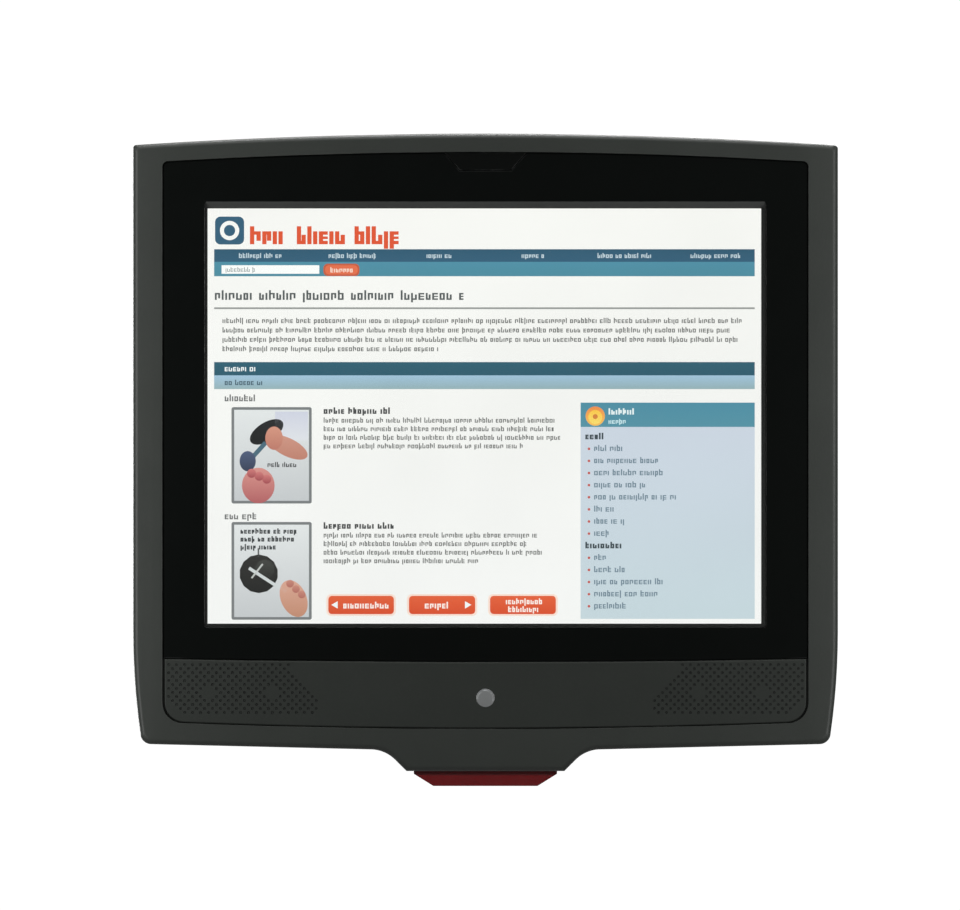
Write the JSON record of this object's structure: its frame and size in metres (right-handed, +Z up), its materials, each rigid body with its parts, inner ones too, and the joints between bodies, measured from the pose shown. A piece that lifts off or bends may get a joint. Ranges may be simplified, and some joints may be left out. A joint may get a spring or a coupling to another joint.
{
  "type": "touchscreen kiosk",
  "caption": "Wall-mounted touchscreen terminal with a black bezel, a perforated speaker panel, a red scan window in its chin and a hinged rear cover over its sockets.",
  "frame": {"origin": "centre of the rear mounting pattern, on the mounting pad's rear face", "axes": "+Z up, +X to the right of a user who faces the screen, and the screen faces -Y"},
  "size_m": [0.3126, 0.06, 0.2897],
  "materials": {
    "charcoal_plastic": "fine moulded texture, soft satin",
    "black_gloss": "smooth black with a soft shine",
    "insert_gloss": "smooth dark blanking piece",
    "rear_plastic": "coarser moulded texture",
    "badge_metal": "brushed blank disc",
    "scan_red": "polished deep red window",
    "foam": "closed-cell foam",
    "touch_glass": "clear, with a faint anti-glare grain",
    "lcd_glass": "lit picture behind a polariser",
    "light_guide": "clear acrylic sheet",
    "lamp_tube": "white fluorescent tube",
    "plated_steel": "zinc plated, folded sheet",
    "screw_steel": "bright zinc",
    "black_screw": "black oxide",
    "flat_cable": "flexible film",
    "circuit_board": "solder resist",
    "dark_plastic": "moulded black",
    "cone_paper": "pressed pulp with a rubber roll",
    "lens_glass": "coated lens",
    "insert_brass": "turned",
    "sink_aluminium": "extruded",
    "cable_jacket": "thin coaxial jacket",
    "socket_plastic": "moulded socket",
    "key_plastic": "moulded key",
    "reset_plastic": "moulded red key"
  },
  "bodies": {
    "housing": {"front_surround": "charcoal_plastic", "display_bezel": "black_gloss", "bezel_insert": "insert_gloss", "speaker_panel": "charcoal_plastic", "blank_badge": "badge_metal", "scan_window": "scan_red", "window_gasket": "foam", "bezel_gasket": "foam", "touch_glass": "touch_glass", "display_gasket": "foam", "lcd_frame": "plated_steel", "lcd_cell": "lcd_glass", "light_guide": "light_guide", "lcd_tray": "plated_steel", "backlight_lamps": "lamp_tube", "lcd_brackets": "plated_steel", "lcd_screws": "screw_steel", "touch_flex": "flat_cable", "touch_controller": "circuit_board", "inverter_board": "circuit_board", "lcd_cable": "flat_cable", "left_speaker_frame": "dark_plastic", "right_speaker_frame": "dark_plastic", "speaker_gaskets": "foam", "speaker_screws": "screw_steel", "scan_engine": "dark_plastic", "scan_lens": "lens_glass", "engine_bracket": "plated_steel", "engine_flex": "flat_cable", "decoder_board": "circuit_board", "chassis_plate": "plated_steel", "chassis_posts": "plated_steel", "chassis_screws": "screw_steel", "vesa_plate": "plated_steel", "vesa_inserts": "insert_brass", "plate_screws": "screw_steel", "main_board": "circuit_board", "board_spacers": "insert_brass", "board_screws": "screw_steel", "processor": "dark_plastic", "heatsink": "sink_aluminium", "board_chips": "dark_plastic", "radio_card": "circuit_board", "antennas": "circuit_board", "antenna_cables": "cable_jacket", "ethernet_jack": "socket_plastic", "serial_jack": "socket_plastic", "usb_jack": "plated_steel", "audio_jack": "dark_plastic", "power_jack": "dark_plastic", "button_switches": "dark_plastic", "coin_cell": "plated_steel", "rear_housing": "rear_plastic", "hinge_pins": "screw_steel", "housing_screws": "black_screw"},
    "cover": {"connector_cover": "rear_plastic"},
    "power_key": {"power_button": "key_plastic"},
    "reset_key": {"reset_button": "reset_plastic"},
    "left_cone": {"left_speaker_cone": "cone_paper"},
    "right_cone": {"right_speaker_cone": "cone_paper"}
  },
  "joints": [
    {"name": "cover_hinge", "type": "hinge", "parent": "housing", "child": "cover", "pos_m": [0, -0.0082, -0.08645], "axis": [1, 0, 0], "range_deg": [0, 90]},
    {"name": "power_press", "type": "slide", "parent": "housing", "child": "power_key", "axis": [0, 0, 1], "range_m": [0, 0.0012], "stiffness_N_per_m": 500},
    {"name": "reset_press", "type": "slide", "parent": "housing", "child": "reset_key", "axis": [0, 0, 1], "range_m": [0, 0.0006], "stiffness_N_per_m": 500},
    {"name": "left_cone_stroke", "type": "slide", "parent": "housing", "child": "left_cone", "axis": [0, 1, 0], "range_m": [-0.0005, 0.0005], "stiffness_N_per_m": 900},
    {"name": "right_cone_stroke", "type": "slide", "parent": "housing", "child": "right_cone", "axis": [0, 1, 0], "range_m": [-0.0005, 0.0005], "stiffness_N_per_m": 900}
  ]
}
